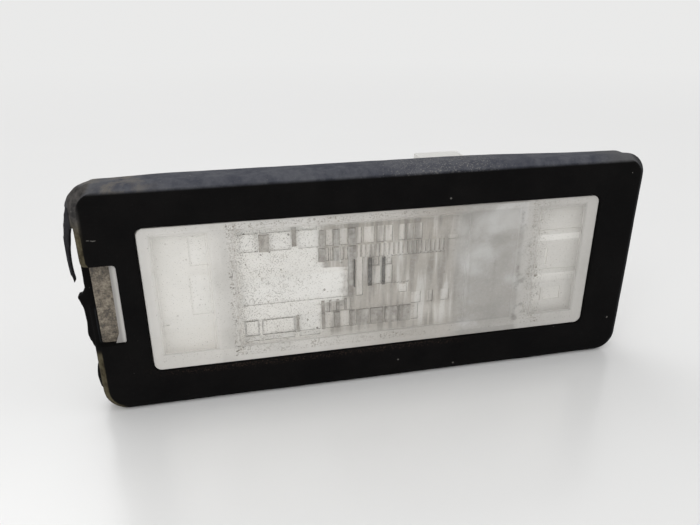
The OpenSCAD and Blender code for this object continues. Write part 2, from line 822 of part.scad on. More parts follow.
module bulb_holder() {
  color("#9aa0a6")
    translate([0, 0, axis_z])
      difference() {
        union() {
          box([holder_x, holder_front, -holder_h / 2], [holder_end_x, rear_inner, holder_h / 2]);
          for (z = [-peg_z, peg_z])
            translate([peg_x, 0, z])
              slab(rear_inner - eps, rear_outer)
                circle(peg_r);
        }
        box([holder_x - eps, bulb_y - wedge_t / 2 - fit_gap, -wedge_w / 2 - fit_gap],
          [base_x + lead_d, bulb_y + wedge_t / 2 + fit_gap, wedge_w / 2 + fit_gap]);
        box([holder_x - eps, bulb_y - key_t / 2 - fit_gap, -key_w / 2 - fit_gap],
          [base_x + lead_d, bulb_y + key_t / 2 + fit_gap, key_w / 2 + fit_gap]);
        clip_pocket(1);
        clip_pocket(-1);
        // Chamfered mouth that leads the wedge in
        translate([holder_x, bulb_y, 0])
          rotate([0, 0, 45])
            cube([wedge_t, wedge_t, wedge_w + 2 * fit_gap], center = true);
      }
}

// Sprung clip with a tail that runs back to its blade
module contact_clip(side) {
  half = clip_gap / 2 + clip_t / 2;
  middle_y = bulb_y - side * lead_d / 2;
  color("#c9a45a")
    translate([0, 0, axis_z])
      difference() {
        plate(side * lead_z, blade_w) {
          ribbon([
            [clip_mouth_x - clip_flare, middle_y - half - clip_room + 0.2],
            [clip_mouth_x, middle_y - half],
            [clip_end_x, middle_y - half],
            [clip_end_x, tail_y]
          ], clip_t);
          ribbon([
            [clip_mouth_x - clip_flare, middle_y + half + clip_room - 0.2],
            [clip_mouth_x, middle_y + half],
            [clip_end_x, middle_y + half]
          ], clip_t);
        }
        rivet_shank(side);
      }
}

module contact_spring_upper() {
  contact_clip(1);
}

module contact_spring_lower() {
  contact_clip(-1);
}

module rivet_shank(side) {
  translate([blade_x, rivet_y, side * lead_z])
    rotate([0, 90, 0])
      cylinder(r = rivet_r, h = blade_t + clip_t, $fn = 32);
}

module blade(side) {
  tip = 1.2;
  y0 = bulb_y + pocket_d + lead_d / 2;
  y1 = rear_outer + blade_reach;
  z = side * lead_z;
  color("#b8b4a6")
    translate([0, 0, axis_z])
      difference() {
        translate([blade_x, 0, z])
          rotate([90, 0, 90])
            linear_extrude(blade_t)
              polygon([
                [y0, -blade_w / 2],
                [y1 - tip, -blade_w / 2],
                [y1, -blade_w / 4],
                [y1, blade_w / 4],
                [y1 - tip, blade_w / 2],
                [y0, blade_w / 2]
              ]);
        rivet_shank(side);
      }
}

module terminal_upper() {
  blade(1);
}

module terminal_lower() {
  blade(-1);
}

module contact_rivets() {
  head = 0.35;
  color("#a8843f")
    translate([0, 0, axis_z])
      for (side = [-1, 1]) {
        rivet_shank(side);
        for (x = [blade_x - head, blade_x + blade_t + clip_t])
          translate([x, rivet_y, side * lead_z])
            rotate([0, 90, 0])
              cylinder(r = rivet_r * 1.6, h = head, $fn = 32);
      }
}

// Round envelope along X, from its tip
module envelope(r, inset_x) {
  body_l = bulb_l - wedge_l - 5.6;
  translate([tip_x + inset_x + r, bulb_y, 0]) {
    sphere(r);
    rotate([0, 90, 0])
      cylinder(r = r, h = body_l - r);
  }
  translate([tip_x + inset_x + body_l, bulb_y, 0])
    rotate([0, 90, 0])
      cylinder(r1 = r, r2 = r * 0.6, h = 3.6);
}

module lead_path(side) {
  z = side * lead_z;
  r = lead_d / 2;
  fold_y = bulb_y - side * (wedge_t / 2 + r);
  fold_x = base_x + r;
  straight_y = min(bulb_y, fold_y);
  translate([filament_x, bulb_y, z])
    rotate([0, 90, 0])
      cylinder(r = r, h = fold_x - filament_x, $fn = 24);
  translate([fold_x, bulb_y, z])
    sphere(r, $fn = 24);
  translate([fold_x, straight_y, z])
    rotate([-90, 0, 0])
      cylinder(r = r, h = abs(fold_y - bulb_y), $fn = 24);
  translate([fold_x, fold_y, z])
    sphere(r, $fn = 24);
  translate([fold_x - 5, fold_y, z])
    rotate([0, 90, 0])
      cylinder(r = r, h = 5, $fn = 24);
}

module bulb_glass() {
  color([0.92, 0.95, 0.97, 0.35])
    translate([0, 0, axis_z])
      difference() {
        union() {
          envelope(bulb_d / 2, 0);
          box([wedge_x - 3, bulb_y - wedge_t / 2, -wedge_w / 2], [base_x, bulb_y + wedge_t / 2, wedge_w / 2]);
          box([wedge_x - 3, bulb_y - key_t / 2, -key_w / 2], [base_x - 1, bulb_y + key_t / 2, key_w / 2]);
        }
        difference() {
          envelope(bulb_d / 2 - glass_t, glass_t);
          box([wedge_x - 3, bulb_y - bulb_d, -bulb_d], [base_x, bulb_y + bulb_d, bulb_d]);
        }
        lead_path(1);
        lead_path(-1);
      }
}

module bulb_lead_upper() {
  color("#8f8b84")
    translate([0, 0, axis_z])
      lead_path(1);
}

module bulb_lead_lower() {
  color("#8f8b84")
    translate([0, 0, axis_z])
      lead_path(-1);
}

// Coiled filament across the two leads
module bulb_filament() {
  length = 2 * (lead_z - lead_d / 2);
  turns = 11;
  color("#5a5a5e")
    translate([filament_x, bulb_y, axis_z - length / 2]) {
      cylinder(r = 0.16, h = length, $fn = 16);
      for (i = [1 : turns])
        translate([0, 0, i * length / (turns + 1)])
          rotate_extrude($fn = 24)
            translate([0.28, 0])
              circle(0.13, $fn = 16);
    }
}

module vent_membrane() {
  color("#f2f2f0")
    translate([vent_x, 0, axis_z])
      slab(rear_outer + 0.5, rear_outer + 0.5 + patch_t)
        circle(patch_r);
}

rubber_frame();
lens();
latch_spring();
lamp_housing();
housing_seal();
bulb_holder();
contact_spring_upper();
contact_spring_lower();
terminal_upper();
terminal_lower();
contact_rivets();
bulb_glass();
bulb_filament();
bulb_lead_upper();
bulb_lead_lower();
vent_membrane();
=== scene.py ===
"""Number plate lamp: a clear fluted lens in a torn black rubber frame, standing on a pale floor."""

import json
import math

import bmesh
import bpy
from mathutils import Matrix, Vector, noise

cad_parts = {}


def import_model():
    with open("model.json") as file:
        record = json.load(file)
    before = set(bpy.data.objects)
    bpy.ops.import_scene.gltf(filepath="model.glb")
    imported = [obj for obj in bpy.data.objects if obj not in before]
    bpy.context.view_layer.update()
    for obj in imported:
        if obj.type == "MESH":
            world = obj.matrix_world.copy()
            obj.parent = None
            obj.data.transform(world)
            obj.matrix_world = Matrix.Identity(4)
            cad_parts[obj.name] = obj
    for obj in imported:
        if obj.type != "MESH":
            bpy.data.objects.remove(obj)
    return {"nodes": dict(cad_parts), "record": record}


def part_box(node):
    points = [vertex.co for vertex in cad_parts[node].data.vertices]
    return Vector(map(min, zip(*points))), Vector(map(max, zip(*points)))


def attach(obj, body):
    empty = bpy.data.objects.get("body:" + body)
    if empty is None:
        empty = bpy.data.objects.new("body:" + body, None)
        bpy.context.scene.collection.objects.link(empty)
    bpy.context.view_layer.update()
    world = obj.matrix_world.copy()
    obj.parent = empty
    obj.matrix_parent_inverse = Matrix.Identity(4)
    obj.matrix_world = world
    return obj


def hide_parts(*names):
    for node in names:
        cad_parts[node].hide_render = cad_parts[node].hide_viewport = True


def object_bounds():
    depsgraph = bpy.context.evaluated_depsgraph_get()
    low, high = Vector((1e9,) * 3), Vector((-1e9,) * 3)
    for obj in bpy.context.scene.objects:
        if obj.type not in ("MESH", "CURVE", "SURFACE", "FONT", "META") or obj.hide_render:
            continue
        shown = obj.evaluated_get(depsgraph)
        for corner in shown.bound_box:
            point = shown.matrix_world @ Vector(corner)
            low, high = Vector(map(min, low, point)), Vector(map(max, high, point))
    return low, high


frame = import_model()
NODES = frame["nodes"]
CAD_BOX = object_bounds()
MM = 0.001

# The camera, as the photograph was taken
CAMERA_PLACE = Vector((-19.344, -74.233, 34.091)) * MM
CAMERA_TURN = math.radians(12.193)
CAMERA_DIP = math.radians(23.451)
CAMERA_ROLL = math.radians(-0.184)
CAMERA_LENS = 31.975
CAMERA_SENSOR = 36.0
CAMERA_NEAR = 0.005

# The surroundings: colours, the world's light, and the lamps by name, place, size and level
WHITE = (1.0, 1.0, 1.0)
FLOOR_COLOURS = (0.86, 0.86, 0.855), (0.885, 0.885, 0.88)
BACKGROUND = (0.82, 0.82, 0.815)
FLOOR_REACH = 3.0
FLOOR_FADE = 0.07, 0.45
WORLD_STRENGTH = 0.67
LAMPS = (
    ("key", (-0.15, 0.45, 0.60), 0.50, 0.19),
    ("front", (-0.35, -0.60, 0.45), 0.60, 0.33),
    ("side", (0.65, -0.10, 0.35), 0.50, 0.10),
)

# Places on the lamp, in millimetres
WALL_X = 19.9
WINDOW_X = 28.4, 28.2
WINDOW_Z = 9.1, 8.9
MIDDLE_Z = 0.2
INNER_Y = -3.45, -3.3
EJECTOR_MARKS = (-20.0, 5.5), (-20.0, -5.2), (3.5, 5.0), (3.5, -4.6), (24.5, 7.6), (24.5, -7.2)

# The worn frame: two shapes by x and z that fill and free the peeled strip, and its wear, in millimetres
CORNER_FILLER = (
    (-33.2, 14.66), (-34.6, 14.55), (-35.6, 14.15), (-36.3, 13.4),
    (-36.8, 12.3), (-35.8, 12.0), (-34.0, 13.0),
)
CORNER_FILLER_Y = -2.2, -0.25
TIP_SLIT = (-36.32, 0.95), (-36.26, 5.4), (-36.95, 4.0), (-36.78, 2.75), (-36.6, 2.2), (-36.8, 1.4)
TIP_SLIT_Y = -4.4, 0.1
VOXEL = 0.25
WAVE_PITCH, WAVE = 9.0, 0.05
SKIN_PITCH, SKIN = 1.7, 0.018
SAG_RIGHT, SAG_LEFT = 0.46, 0.22
MERGE_DISTANCE = 0.001


class Graph:
    """A material's nodes, made with short calls. Names that end in _mm hold millimetres."""

    def __init__(self, name):
        self.material = bpy.data.materials.new(name)
        self.material.use_nodes = True
        self.tree = self.material.node_tree
        self.tree.nodes.clear()
        self.place = self.node("TexCoord").outputs["Object"]

    def node(self, kind, inputs=None, **settings):
        made = self.tree.nodes.new("ShaderNode" + kind)
        for name, value in settings.items():
            setattr(made, name, value)
        for name, value in (inputs or {}).items():
            self.put(made.inputs[name], value)
        return made

    def put(self, socket, value):
        """Links another socket to this one or sets its value. Colours are given without alpha."""
        if isinstance(value, bpy.types.NodeSocket):
            self.tree.links.new(value, socket)
        elif socket.type == "RGBA":
            socket.default_value = (*value, 1.0)
        else:
            socket.default_value = value

    def math(self, operation, a, b=0.0):
        return self.node("Math", {0: a, 1: b}, operation=operation).outputs[0]

    def plus(self, a, b):
        return self.math("ADD", a, b)

    def minus(self, a, b):
        return self.math("SUBTRACT", a, b)

    def without(self, value):
        """What is left of one."""
        return self.minus(1.0, value)

    def times(self, product, *others):
        for other in others:
            product = self.math("MULTIPLY", product, other)
        return product

    def most(self, largest, *others):
        """The largest of the values."""
        for other in others:
            largest = self.math("MAXIMUM", largest, other)
        return largest

    def apart(self, value, middle_mm=None):
        """How far a place or a share of a direction is from the middle, whichever side it is on."""
        if middle_mm is not None:
            value = self.plus(value, -middle_mm * MM)
        return self.math("ABSOLUTE", value)

    def step(self, value, low, high, out_low=0.0, out_high=1.0):
        """Smooth change from out_low to out_high as value goes from low to high."""
        inputs = {0: value, 1: low, 2: high, 3: out_low, 4: out_high}
        return self.node("MapRange", inputs, interpolation_type="SMOOTHSTEP").outputs[0]

    def fade(self, value, low_mm, high_mm, out_low=0.0, out_high=1.0):
        """The same change between two places."""
        return self.step(value, low_mm * MM, high_mm * MM, out_low, out_high)

    def axes(self, vector=None):
        made = self.node("SeparateXYZ", {0: vector or self.place})
        return made.outputs[0], made.outputs[1], made.outputs[2]

    def length(self, vector):
        return self.node("VectorMath", {0: vector}, operation="LENGTH").outputs["Value"]

    def stretch(self, scale):
        return self.node("Mapping", {"Vector": self.place, "Scale": scale}).outputs[0]

    def noise(self, size_mm, detail=3.0, roughness=0.55, vector=None, distortion=0.0):
        """Noise whose blotches are about size_mm across."""
        inputs = {
            "Vector": vector or self.place,
            "Scale": 1 / (size_mm * MM),
            "Detail": detail,
            "Roughness": roughness,
            "Distortion": distortion,
        }
        return self.node("TexNoise", inputs).outputs["Fac"]

    def specks(self, pitch_mm, radius, share):
        """Round specks, one in some cells of pitch_mm: radius is in cells, share is how many have one."""
        inputs = {"Vector": self.place, "Scale": 1 / (pitch_mm * MM), "Randomness": 1.0}
        cells = self.node("TexVoronoi", inputs)
        pick, size, _ = self.axes(cells.outputs["Color"])
        chosen = self.math("LESS_THAN", pick, share)
        edge = self.times(size, radius)
        inside = self.math("LESS_THAN", cells.outputs["Distance"], edge)
        return self.times(chosen, inside)

    def mix(self, factor, a, b):
        made = self.node("Mix", {0: factor}, data_type="RGBA")
        self.put(made.inputs[6], a)
        self.put(made.inputs[7], b)
        return made.outputs[2]

    def coat(self, colour, *coats):
        """Lays coats over a colour in turn, each given by how much it covers and its own colour."""
        for cover, own in coats:
            colour = self.mix(cover, colour, own)
        return colour

    def ramp(self, value, *stops):
        made = self.node("ValToRGB", {0: value})
        bar = made.color_ramp.elements
        while len(bar) < len(stops):
            bar.new(0.5)
        for element, (at, colour) in zip(bar, stops):
            element.position = at
            element.color = (*colour, 1.0)
        return made.outputs[0]

    def bump(self, height, depth_mm, under=None):
        inputs = {"Height": height, "Distance": depth_mm * MM, "Strength": 1.0}
        if under is not None:
            inputs["Normal"] = under
        return self.node("Bump", inputs).outputs[0]

    def principled(self, **inputs):
        return self.node("BsdfPrincipled", inputs).outputs[0]

    def blend(self, factor, a, b):
        made = self.node("MixShader", {0: factor})
        self.put(made.inputs[1], a)
        self.put(made.inputs[2], b)
        return made.outputs[0]

    def finish(self, shader):
        self.put(self.node("OutputMaterial").inputs[0], shader)
        return self.material


def rubber():
    """Near-black matte rubber: dusty and painted with a sheen on top, painted with a sheen on the right
    rounding, dirty on the left rounding, with a few pale specks.
    """
    g = Graph("frame_rubber")
    x, y, z = g.axes()
    across, along, up = g.axes(g.node("NewGeometry").outputs["Normal"])
    cloud = g.noise(6.0, 4.0, 0.6)
    grain = g.noise(0.30, 4.0, 0.7)
    mottle = g.noise(1.3, 5.0, 0.7)
    black = g.mix(g.step(cloud, 0.3, 0.75), (0.0034, 0.0032, 0.0033), (0.0056, 0.0052, 0.0051))

    # The rim is the outer surface round the flat front
    outside = g.most(g.fade(g.apart(x), 33.5, 34.5), g.fade(g.apart(z), 12.6, 13.4))
    rim = g.times(g.step(along, -0.992, -0.95), outside)

    # Dust and a painted sheen on the top face, which reach over the front's upper edge; the top is browner at
    # the left
    dust_and_sheen = g.mix(g.step(g.plus(g.times(mottle, 0.6), g.times(cloud, 0.4)), 0.36, 0.66),
                  (0.056, 0.059, 0.074), (0.100, 0.103, 0.116))
    # The top face is paler towards both ends, a painted highlight
    corner = g.fade(g.apart(x, -1.5), 29.0, 34.0)
    patch = g.times(g.step(g.noise(2.2, 5.0, 0.75), 0.42, 0.62), g.fade(x, -25.0, -30.0))
    dust_and_sheen = g.coat(
        dust_and_sheen,
        (g.times(corner, 0.6), (0.115, 0.113, 0.110)),
        (g.times(patch, 0.65), (0.165, 0.150, 0.130)),
    )
    top = g.times(rim, g.step(up, 0.08, 0.22), g.fade(z, 11.0, 12.6))
    upper_edge = g.times(g.fade(z, 13.65, 14.15), g.step(mottle, 0.2, 0.6, 0.55, 0.95))
    top = g.most(top, g.times(upper_edge, g.fade(y, -3.0, -3.6)))

    # The right rounding is a little paler than the front, a painted sheen
    side = g.times(rim, g.step(across, 0.10, 0.35))

    # Brown dirt on the left rounding, grey near the top, none beside the slot
    brown = g.mix(g.step(mottle, 0.3, 0.7), (0.030, 0.024, 0.015), (0.105, 0.092, 0.058))
    ashy = g.mix(g.step(mottle, 0.3, 0.7), (0.030, 0.029, 0.029), (0.090, 0.084, 0.080))
    dirt = g.mix(g.fade(z, 8.5, 11.5), brown, ashy)
    left = g.times(rim, g.step(across, -0.06, -0.26), g.fade(x, -36.3, -36.1), g.fade(y, -1.6, -2.3))
    by_slot = g.times(g.fade(z, -6.6, -5.6), g.fade(z, 5.2, 4.6))
    left_edge = g.times(g.fade(x, -34.75, -35.35), g.fade(z, 7.0, 11.5))
    left = g.most(g.times(left, g.without(by_slot)), g.times(left_edge, g.fade(y, -3.0, -3.6), 0.85))

    # The peeled strip is charcoal
    strip = g.times(g.fade(x, -36.1, -36.4), g.fade(z, 2.1, 2.6), g.step(mottle, 0.25, 0.65, 0.45, 1.0))

    # Pale powder on the top face, thickest right of the middle, and crumbs on the window's lower ledge
    heap = g.times(g.fade(x, -6.0, 6.0), g.fade(x, 20.0, 11.0))
    powder = g.times(top, g.step(g.noise(0.22, 3.0, 0.8), g.step(heap, 0.0, 1.0, 0.62, 0.50), 0.72))
    powder = g.times(powder, g.step(heap, 0.0, 1.0, 0.35, 0.9))
    sill = g.times(g.fade(z, -10.7, -9.9), g.fade(z, -8.9, -9.3), g.fade(g.apart(x, -8.0), 24.0, 14.0))
    crumbs = g.times(g.step(g.noise(0.20, 3.0, 0.8), 0.52, 0.66), g.step(along, -0.4, -0.7))

    # Pale specks, and dots and a scratch on the front, high at its left
    fine = g.times(g.specks(0.55, 0.22, 0.10), g.step(cloud, 0.48, 0.6))
    coarse = g.specks(2.1, 0.07, 0.25)
    dots = g.times(g.specks(0.42, 0.60, 0.6), g.fade(g.apart(x, -34.3), 0.5, 0.35))
    dots = g.times(dots, g.fade(g.apart(z, 9.9), 0.7, 0.5))
    scratch = g.plus(z, g.plus(g.times(mottle, 0.5 * MM), -8.75 * MM))
    scratch = g.times(g.fade(g.apart(scratch), 0.07, 0.03), g.step(grain, 0.40, 0.55))
    scratch = g.times(scratch, g.fade(g.apart(x, -34.1), 0.6, 0.4))
    marks = g.times(g.most(dots, scratch), g.step(along, -0.9, -0.97))
    speckled = g.most(fine, coarse, marks)

    colour = g.coat(
        black,
        # The top face takes dust and a painted sheen
        (top, dust_and_sheen),
        (g.times(side, 0.75), (0.020, 0.021, 0.023)),
        (left, dirt),
        (strip, (0.034, 0.034, 0.038)),
        (powder, (0.27, 0.26, 0.24)),
        (g.times(crumbs, sill, 0.5), (0.085, 0.055, 0.040)),
        (g.times(speckled, 0.35), (0.28, 0.27, 0.25)),
    )
    surface = g.bump(grain, 0.03, g.bump(cloud, 0.10))
    shader = g.principled(**{
        "Base Color": colour, "Roughness": 0.8, "Specular IOR Level": 0.05, "Normal": surface,
    })
    return g.finish(shader)


def clear_plastic():
    """Clear plastic, hazed and dusty on its inner relief, with painted highlights and shade on it, and dirt
    at the slot and along the bottom edge.
    """
    g = Graph("clear_plastic")
    x, y, z = g.axes()
    _, along_y, up = g.axes(g.node("NewGeometry").outputs["Normal"])
    mottle = g.noise(1.1, 5.0, 0.7)
    fine = g.noise(0.4, 3.0, 0.6)
    cloud = g.noise(5.0, 3.0)
    inner = g.fade(y, *INNER_Y)
    window = g.times(g.fade(g.apart(x), *WINDOW_X), g.fade(g.apart(z, MIDDLE_Z), *WINDOW_Z))

    # The slot shows the lens's dirty flange, with a clean rib along it
    slot = g.fade(x, -30.6, -31.2)
    clean_rib = g.times(g.fade(y, -3.05, -3.2), slot)
    dirty = g.times(slot, g.without(clean_rib), g.fade(y, -0.9, -1.4, 0.12, 1.0))
    dirt_colour = g.ramp(
        g.noise(0.55, 5.0, 0.75),
        (0.38, (0.026, 0.018, 0.011)),
        (0.50, (0.120, 0.096, 0.066)),
        (0.64, (0.260, 0.222, 0.168)),
    )

    # Relief: how far the inner face stands up or is cut in
    relief = g.times(window, g.fade(y, -2.20, -2.10, 1.0, 0.0))
    raised = g.times(relief, g.fade(y, -2.52, -2.40))
    groove = g.times(window, inner, g.fade(y, -2.62, -2.76))
    slit = g.times(groove, g.fade(y, -2.95, -3.05))
    upright = g.times(g.step(g.apart(along_y), 0.90, 0.35), inner)
    steep = g.times(upright, g.times(window, g.fade(y, -2.0, -2.2)))

    # The middle compartment is dusty and light at its left, and greyer over the flutes
    middle = g.times(g.fade(x, -19.5, -18.9), g.fade(x, 19.2, 19.6, 1.0, 0.0))
    ragged = g.plus(x, g.times(g.minus(mottle, 0.5), 4.0 * MM))
    reach = g.fade(g.apart(z, -0.4), 2.6, 2.3, 0.0, 3.0 * MM)
    flutes = g.fade(g.minus(ragged, reach), -8.6, -6.6)
    low = g.times(g.fade(z, -7.0, -7.8), g.fade(x, 6.0, -6.0, 0.15, 0.75))
    high = g.times(g.fade(z, 7.6, 8.2), g.fade(x, 12.0, -4.0, 0.1, 0.8))
    flutes = g.times(flutes, middle, g.without(g.most(low, high)))
    light = g.without(flutes)

    # The smooth area right of it, and the right end cell
    right = g.fade(x, 9.0, 12.0)
    end = g.fade(x, 19.0, 20.2)
    smooth = g.times(right, g.without(end), window)

    # Colours of the ground and of what stands up from it, over and beside the flutes and further right
    ground = g.coat(
        g.mix(light, (0.55, 0.51, 0.46), (0.93, 0.91, 0.87)),
        (g.times(g.fade(z, -4.0, -5.0), 0.40), (0.88, 0.85, 0.80)),
        (right, (0.57, 0.55, 0.52)),
        (end, (0.72, 0.70, 0.665)),
    )
    top = g.coat(
        g.mix(light, (0.86, 0.82, 0.765), (0.96, 0.945, 0.91)),
        (g.times(g.fade(x, 2.5, 5.5), 0.55), (0.60, 0.565, 0.52)),
        (right, (0.66, 0.64, 0.60)),
        (end, (0.90, 0.885, 0.85)),
        # The end cell's raised tops are darker low down, a painted shadow band below its lower ridge
        (g.times(end, g.fade(z, -1.5, -2.5)), (0.77, 0.75, 0.715)),
    )
    furrow = g.mix(g.step(mottle, 0.35, 0.65), (0.34, 0.31, 0.28), (0.60, 0.57, 0.53))

    # Streaks of painted light and shade over the flutes, steep faces with a painted highlight where they face
    # down and painted shade elsewhere, fog in the smooth area, lighter towards its top, and darker patches
    # where the pane meets the two walls
    flute_shading_streaks = g.noise(0.9, 2.0, 0.5, g.stretch((1.0, 0.2, 0.12)))
    shade = g.times(flutes, g.without(right), g.times(window, inner))
    edge = g.mix(g.step(up, -0.3, -0.7), (0.13, 0.12, 0.105), (0.98, 0.97, 0.94))
    painted_edge_amount = g.times(
        g.step(fine, 0.35, 0.6, 0.35, 0.95),
        g.fade(g.apart(x), 20.4, 19.4, 0.35, 1.0),
        g.step(right, 0.0, 1.0, 1.0, 0.10),
    )
    fog = g.noise(4.5, 3.0, 0.5, g.stretch((1.0, 1.0, 1.3)), 0.2)
    bright = g.times(g.step(g.plus(fog, g.fade(z, -2.0, 8.0, -0.06, 0.12)), 0.42, 0.70), smooth)
    joint = g.fade(g.apart(x, WALL_X), 1.5, 0.7)
    joint = g.times(joint, g.step(g.noise(1.5, 4.0, 0.65), 0.52, 0.66))
    left_joint = g.fade(g.apart(x, -WALL_X), 1.3, 0.6)
    left_joint = g.times(left_joint, g.step(cloud, 0.35, 0.62, 0.35, 1.0))
    pale = g.coat(
        g.mix(raised, ground, top),
        (groove, furrow),
        # Streaks of painted shade and painted light over the flutes
        (g.times(g.step(flute_shading_streaks, 0.52, 0.36), shade, 0.45), (0.20, 0.18, 0.16)),
        (g.times(g.step(flute_shading_streaks, 0.54, 0.68), shade, 0.45), (0.98, 0.97, 0.94)),
        # Steep faces get a painted highlight where they face down and painted shade elsewhere
        (g.times(steep, painted_edge_amount), edge),
        # The slits are painted near-black as shade
        (slit, (0.10, 0.09, 0.08)),
        (g.times(g.step(cloud, 0.35, 0.7), 0.12), (0.36, 0.37, 0.34)),
        (g.times(g.step(fine, 0.45, 0.7), 0.10), WHITE),
        (g.times(bright, 0.62), (0.88, 0.88, 0.87)),
        (g.times(g.step(fog, 0.48, 0.30), smooth, 0.22), (0.30, 0.30, 0.28)),
        (g.times(clean_rib, g.fade(x, -32.3, -32.75)), (0.52, 0.50, 0.48)),
        # The haze on the outer face is painted darker as shade, less so in the smooth area
        (g.times(g.without(inner), g.step(smooth, 0.0, 1.0, 0.22, 0.10)), (0.02, 0.02, 0.02)),
        (g.times(joint, 0.50), (0.23, 0.22, 0.205)),
        (g.times(left_joint, 0.13), (0.25, 0.24, 0.22)),
    )

    # Where dust lies: most at the left of the middle, along its top and bottom, and right of the right wall
    along = g.times(g.fade(x, -19.7, -19.0), g.fade(x, 0.0, -14.0, 0.10, 1.0))
    edges = g.times(middle, g.most(g.fade(z, 7.6, 8.6), g.fade(z, -7.4, -8.2)))
    edges = g.times(edges, g.fade(x, 9.0, 4.0, 0.25, 1.0))
    inside = g.times(g.fade(x, 20.0, 20.6), g.fade(x, 25.0, 21.8, 0.0, 1.1))
    share = g.times(g.most(along, edges, inside), g.step(mottle, 0.30, 0.60, 0.35, 1.0))
    share = g.most(share, g.times(middle, g.fade(x, -15.6, -18.2, 0.0, 1.25)))

    # Dust: very fine dark specks, clumps of them, small and large round ones, and a crust along the bottom
    tiny = g.math("LESS_THAN", g.noise(0.16, 2.0, 0.6), g.step(share, 0.0, 1.25, 0.345, 0.455))
    clump = g.math("LESS_THAN", g.noise(0.34, 5.0, 0.8), g.step(share, 0.0, 1.25, 0.24, 0.42))
    clump = g.times(clump, g.step(share, 0.15, 0.5))
    heap = g.fade(x, -17.6, -18.8)
    small = g.times(g.specks(0.30, 0.46, 0.50), g.step(share, 0.2, 0.8))
    small = g.times(small, g.step(g.most(heap, mottle), 0.45, 0.60))
    large = g.times(g.specks(1.1, 0.17, 0.50), g.step(share, 0.1, 0.5, 0.30, 1.0))
    grit = g.most(g.times(small, 0.9), large, g.times(clump, 0.85))
    dust = g.times(g.most(g.times(tiny, 0.55), grit), window)
    crust = g.times(g.fade(z, -8.6, -9.2), g.step(g.plus(fine, mottle), 1.0, 1.25))
    crust = g.times(crust, g.times(inner, 0.35))

    # Haze and dust show on the inner face, and on the outer face only before walls, borders and fog
    near = g.most(g.fade(z, 7.9, 8.7), g.fade(z, -7.1, -7.7))
    border = g.most(g.fade(g.apart(x), 27.4, 28.3), near)
    border = g.times(border, g.fade(x, -31.0, -30.4))
    wall = g.apart(g.minus(g.apart(x), WALL_X * MM))
    wall = g.fade(wall, 1.9, 1.1, 0.0, 0.9)
    fogged = g.times(g.fade(x, 9.5, 12.5), g.fade(x, 20.0, 19.0), 0.62)
    shown = g.most(inner, fogged, g.most(border, wall))
    stain = g.most(g.times(dust, shown, 0.78), crust, g.times(dirty, 0.95))
    soiled = g.principled(**{"Base Color": dirt_colour, "Roughness": 0.7})

    # The haze hides most of what is behind the pane
    extra = g.plus(g.times(light, 0.12), g.times(end, 0.04))
    amount = g.plus(extra, g.plus(0.80, g.times(cloud, 0.04)))
    amount = g.times(g.minus(amount, g.times(groove, 0.12)), shown)
    amount = g.most(amount, g.times(clean_rib, 0.85))
    diffuse = g.node("BsdfDiffuse", {"Color": pale}).outputs[0]
    translucent = g.node("BsdfTranslucent", {"Color": pale}).outputs[0]
    haze = g.blend(0.12, diffuse, translucent)

    # Scattered light goes straight through the clear share, and shadow rays through all but the stains
    clear = g.principled(**{
        "Base Color": (0.985, 0.985, 0.98),
        "Roughness": g.step(g.times(right, inner), 0.0, 1.0, 0.03, 0.25),
        "IOR": 1.49,
        "Transmission Weight": 1.0,
        "Normal": g.bump(g.noise(3.0, 3.0), 0.02),
    })
    path = g.node("LightPath")
    through = g.node("BsdfTransparent", {"Color": (0.98, 0.98, 0.975)}).outputs[0]
    lit = g.blend(path.outputs["Is Diffuse Ray"], clear, through)
    body = g.blend(stain, g.blend(amount, lit, haze), soiled)
    shadow = g.times(path.outputs["Is Shadow Ray"], g.without(stain))
    return g.finish(g.blend(shadow, body, through))


def pale_plastic():
    """Milky natural plastic that lets some light through, with ejector marks, a seam, smudges and scuffs."""
    g = Graph("pale_plastic")
    x, y, z = g.axes()
    cloud = g.noise(7.0, 3.0)
    grain = g.noise(0.25, 3.0, 0.6)
    outer = g.fade(y, 8.0, 13.0)
    smudge = g.step(g.noise(4.0, 5.0, 0.7, g.stretch((1.0, 0.5, 1.0))), 0.56, 0.75)
    specks = g.times(g.specks(0.9, 0.14, 0.2), outer)
    scuffs = g.step(g.noise(0.8, 3.0, 0.6, g.stretch((0.10, 1.0, 1.6))), 0.66, 0.74)
    dents = 0.0
    for at_x, at_z in EJECTOR_MARKS:
        beside = g.node("CombineXYZ", {0: g.plus(x, -at_x * MM), 1: g.plus(z, -at_z * MM)}).outputs[0]
        dents = g.plus(dents, g.fade(g.length(beside), 1.35, 1.25))
    seam = g.fade(g.apart(z, MIDDLE_Z), 0.10, 0.03)
    moulded = g.plus(g.times(dents, -1.0), g.times(seam, 0.35))
    colour = g.coat(
        g.mix(cloud, (0.84, 0.83, 0.80), (0.91, 0.905, 0.89)),
        (g.times(smudge, outer, 0.30), (0.45, 0.41, 0.34)),
        (g.times(specks, 0.5), (0.30, 0.27, 0.22)),
        (g.times(dents, outer, 0.10), (0.62, 0.60, 0.55)),
        (g.times(scuffs, outer, 0.16), (0.98, 0.98, 0.97)),
    )
    surface = g.bump(grain, 0.012, g.bump(g.times(moulded, outer), 0.06, g.bump(cloud, 0.05)))
    skin = g.principled(**{
        "Base Color": colour, "Roughness": g.step(cloud, 0.2, 0.8, 0.38, 0.52), "Normal": surface,
    })
    glow = g.node("BsdfTranslucent", {"Color": colour, "Normal": surface}).outputs[0]
    return g.finish(g.blend(0.35, skin, glow))


def grey_plastic():
    """Grey heat-resistant plastic, satin."""
    g = Graph("grey_plastic")
    grain = g.noise(0.2, 3.0, 0.7)
    colour = g.mix(g.noise(3.0, 3.0), (0.24, 0.27, 0.31), (0.34, 0.37, 0.41))
    shader = g.principled(**{
        "Base Color": colour, "Roughness": g.step(grain, 0.2, 0.8, 0.4, 0.6), "Normal": g.bump(grain, 0.015),
    })
    return g.finish(shader)


